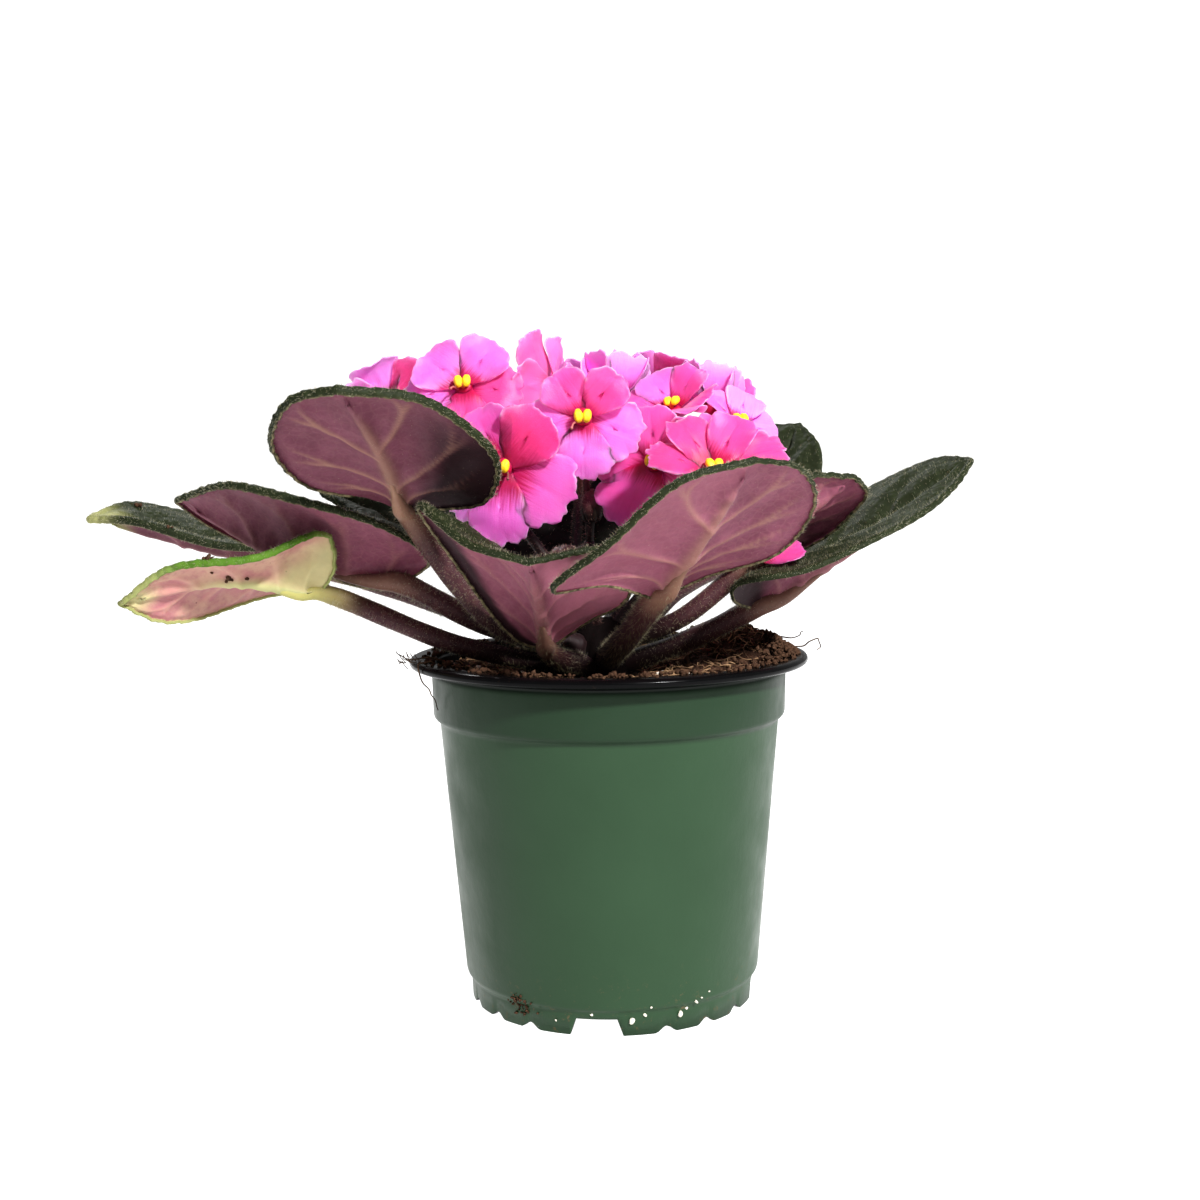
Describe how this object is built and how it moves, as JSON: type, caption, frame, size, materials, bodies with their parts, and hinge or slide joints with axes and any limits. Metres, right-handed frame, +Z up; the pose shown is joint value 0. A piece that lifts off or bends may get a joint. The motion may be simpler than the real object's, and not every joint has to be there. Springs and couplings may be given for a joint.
{
  "type": "potted african violet",
  "caption": "Potted African violet: a rosette of cupped, purple-backed leaves round a dome of pink flowers, in a green plastic nursery pot.",
  "frame": {"origin": "on the pot's axis, in the plane that the pot stands on", "axes": "+X to the right as seen from the front, along the longest spread of the leaves; +Y away from the viewer; +Z up"},
  "size_m": [0.267, 0.1758, 0.1912],
  "materials": {
    "pot_plastic": "satin",
    "peat": "rough",
    "crown_bark": "rough",
    "leaf": "matte, hairy",
    "flower_stalk": "matte, hairy",
    "petal": "matte, sparkling",
    "anther": "matte"
  },
  "bodies": {
    "root": {"pot": "pot_plastic", "soil": "peat", "crown": "crown_bark", "leaf_low_left": "leaf", "leaf_left": "leaf", "leaf_far_left": "leaf", "leaf_upper_left": "leaf", "leaf_behind_left": "leaf", "leaf_back_left": "leaf", "leaf_back": "leaf", "leaf_young": "leaf", "leaf_front": "leaf", "leaf_front_right": "leaf", "leaf_right": "leaf", "leaf_far_right": "leaf", "leaf_back_right": "leaf", "stalk_left": "flower_stalk", "stalk_front": "flower_stalk", "stalk_back": "flower_stalk", "stalk_right": "flower_stalk", "stalk_far_right": "flower_stalk", "bloom_1": "petal", "anthers_1": "anther", "bloom_2": "petal", "anthers_2": "anther", "bloom_3": "petal", "anthers_3": "anther", "bloom_4": "petal", "anthers_4": "anther", "bloom_5": "petal", "anthers_5": "anther", "bloom_6": "petal", "anthers_6": "anther", "bloom_7": "petal", "anthers_7": "anther", "bloom_8": "petal", "anthers_8": "anther", "bloom_9": "petal", "anthers_9": "anther", "bloom_10": "petal", "anthers_10": "anther", "bloom_11": "petal", "anthers_11": "anther", "bloom_12": "petal", "anthers_12": "anther", "bloom_13": "petal", "anthers_13": "anther", "fallen_petal": "petal"}
  },
  "joints": []
}
